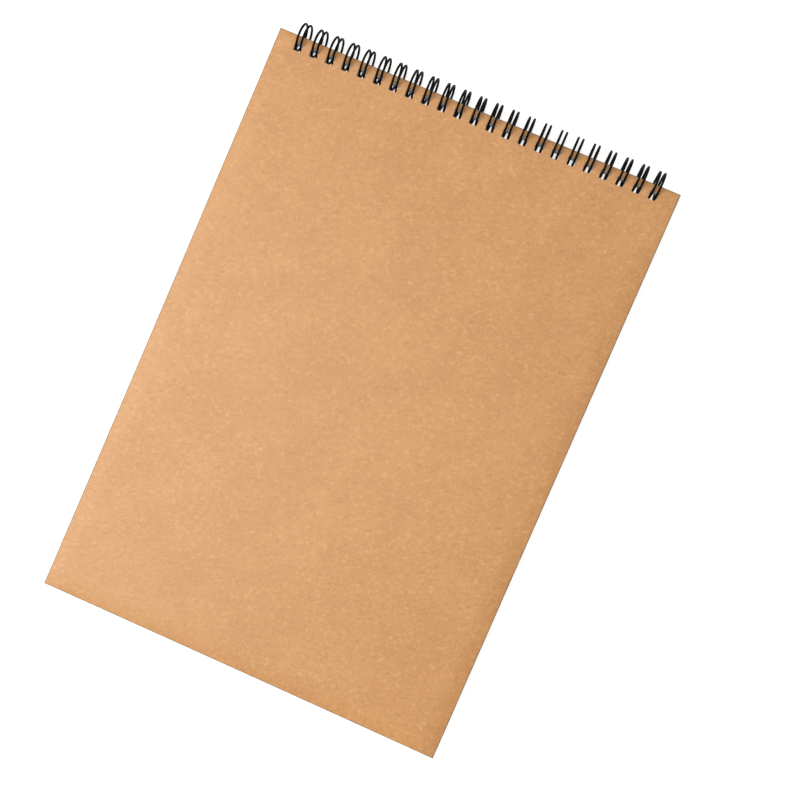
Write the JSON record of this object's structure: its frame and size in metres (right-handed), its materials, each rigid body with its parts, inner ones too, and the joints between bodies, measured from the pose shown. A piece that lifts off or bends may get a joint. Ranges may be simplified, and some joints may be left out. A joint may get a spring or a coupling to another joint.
{
  "type": "wire-bound sketchbook",
  "caption": "A4 upright sketchbook with kraft board covers and white drawing leaves, hung on a black twin-loop wire along its short top edge; every leaf turns.",
  "frame": {"origin": "middle of the closed book's outline, on the plane that its wire loops stand on", "axes": "+X along the bound edge to the right, +Y up the page towards the wire, +Z out of the front cover"},
  "size_m": [0.21, 0.3044, 0.0141],
  "materials": {
    "kraft_cover": "matt kraft board",
    "kraft_back": "matt kraft backing board",
    "drawing_paper": "matt drawing paper with a fine tooth",
    "coated_wire": "satin black nylon coating"
  },
  "bodies": {
    "back": {"back_cover": "kraft_back", "binding_wire": "coated_wire"},
    "leaf_20": {"sheet_20": "drawing_paper"},
    "leaf_19": {"sheet_19": "drawing_paper"},
    "leaf_18": {"sheet_18": "drawing_paper"},
    "leaf_17": {"sheet_17": "drawing_paper"},
    "leaf_16": {"sheet_16": "drawing_paper"},
    "leaf_15": {"sheet_15": "drawing_paper"},
    "leaf_14": {"sheet_14": "drawing_paper"},
    "leaf_13": {"sheet_13": "drawing_paper"},
    "leaf_12": {"sheet_12": "drawing_paper"},
    "leaf_11": {"sheet_11": "drawing_paper"},
    "leaf_10": {"sheet_10": "drawing_paper"},
    "leaf_09": {"sheet_09": "drawing_paper"},
    "leaf_08": {"sheet_08": "drawing_paper"},
    "leaf_07": {"sheet_07": "drawing_paper"},
    "leaf_06": {"sheet_06": "drawing_paper"},
    "leaf_05": {"sheet_05": "drawing_paper"},
    "leaf_04": {"sheet_04": "drawing_paper"},
    "leaf_03": {"sheet_03": "drawing_paper"},
    "leaf_02": {"sheet_02": "drawing_paper"},
    "leaf_01": {"sheet_01": "drawing_paper"},
    "cover": {"front_cover": "kraft_cover"}
  },
  "joints": [
    {"name": "leaf_20_turn", "type": "hinge", "parent": "back", "child": "leaf_20", "pos_m": [0, 0.14513, 0.00713], "axis": [-1, 0, 0], "range_deg": [0, 180]},
    {"name": "leaf_19_turn", "type": "hinge", "parent": "leaf_20", "child": "leaf_19", "pos_m": [0, 0.14513, 0.00713], "axis": [-1, 0, 0], "range_deg": [0, 180]},
    {"name": "leaf_18_turn", "type": "hinge", "parent": "leaf_19", "child": "leaf_18", "pos_m": [0, 0.14513, 0.00713], "axis": [-1, 0, 0], "range_deg": [0, 180]},
    {"name": "leaf_17_turn", "type": "hinge", "parent": "leaf_18", "child": "leaf_17", "pos_m": [0, 0.14513, 0.00713], "axis": [-1, 0, 0], "range_deg": [0, 180]},
    {"name": "leaf_16_turn", "type": "hinge", "parent": "leaf_17", "child": "leaf_16", "pos_m": [0, 0.14513, 0.00713], "axis": [-1, 0, 0], "range_deg": [0, 180]},
    {"name": "leaf_15_turn", "type": "hinge", "parent": "leaf_16", "child": "leaf_15", "pos_m": [0, 0.14513, 0.00713], "axis": [-1, 0, 0], "range_deg": [0, 180]},
    {"name": "leaf_14_turn", "type": "hinge", "parent": "leaf_15", "child": "leaf_14", "pos_m": [0, 0.14513, 0.00713], "axis": [-1, 0, 0], "range_deg": [0, 180]},
    {"name": "leaf_13_turn", "type": "hinge", "parent": "leaf_14", "child": "leaf_13", "pos_m": [0, 0.14513, 0.00713], "axis": [-1, 0, 0], "range_deg": [0, 180]},
    {"name": "leaf_12_turn", "type": "hinge", "parent": "leaf_13", "child": "leaf_12", "pos_m": [0, 0.14513, 0.00713], "axis": [-1, 0, 0], "range_deg": [0, 180]},
    {"name": "leaf_11_turn", "type": "hinge", "parent": "leaf_12", "child": "leaf_11", "pos_m": [0, 0.14513, 0.00713], "axis": [-1, 0, 0], "range_deg": [0, 180]},
    {"name": "leaf_10_turn", "type": "hinge", "parent": "leaf_11", "child": "leaf_10", "pos_m": [0, 0.14513, 0.00713], "axis": [-1, 0, 0], "range_deg": [0, 180]},
    {"name": "leaf_09_turn", "type": "hinge", "parent": "leaf_10", "child": "leaf_09", "pos_m": [0, 0.14513, 0.00713], "axis": [-1, 0, 0], "range_deg": [0, 180]},
    {"name": "leaf_08_turn", "type": "hinge", "parent": "leaf_09", "child": "leaf_08", "pos_m": [0, 0.14513, 0.00713], "axis": [-1, 0, 0], "range_deg": [0, 180]},
    {"name": "leaf_07_turn", "type": "hinge", "parent": "leaf_08", "child": "leaf_07", "pos_m": [0, 0.14513, 0.00713], "axis": [-1, 0, 0], "range_deg": [0, 180]},
    {"name": "leaf_06_turn", "type": "hinge", "parent": "leaf_07", "child": "leaf_06", "pos_m": [0, 0.14513, 0.00713], "axis": [-1, 0, 0], "range_deg": [0, 180]},
    {"name": "leaf_05_turn", "type": "hinge", "parent": "leaf_06", "child": "leaf_05", "pos_m": [0, 0.14513, 0.00713], "axis": [-1, 0, 0], "range_deg": [0, 180]},
    {"name": "leaf_04_turn", "type": "hinge", "parent": "leaf_05", "child": "leaf_04", "pos_m": [0, 0.14513, 0.00713], "axis": [-1, 0, 0], "range_deg": [0, 180]},
    {"name": "leaf_03_turn", "type": "hinge", "parent": "leaf_04", "child": "leaf_03", "pos_m": [0, 0.14513, 0.00713], "axis": [-1, 0, 0], "range_deg": [0, 180]},
    {"name": "leaf_02_turn", "type": "hinge", "parent": "leaf_03", "child": "leaf_02", "pos_m": [0, 0.14513, 0.00713], "axis": [-1, 0, 0], "range_deg": [0, 180]},
    {"name": "leaf_01_turn", "type": "hinge", "parent": "leaf_02", "child": "leaf_01", "pos_m": [0, 0.14513, 0.00713], "axis": [-1, 0, 0], "range_deg": [0, 180]},
    {"name": "cover_turn", "type": "hinge", "parent": "leaf_01", "child": "cover", "pos_m": [0, 0.14513, 0.00713], "axis": [-1, 0, 0], "range_deg": [0, 180]}
  ]
}
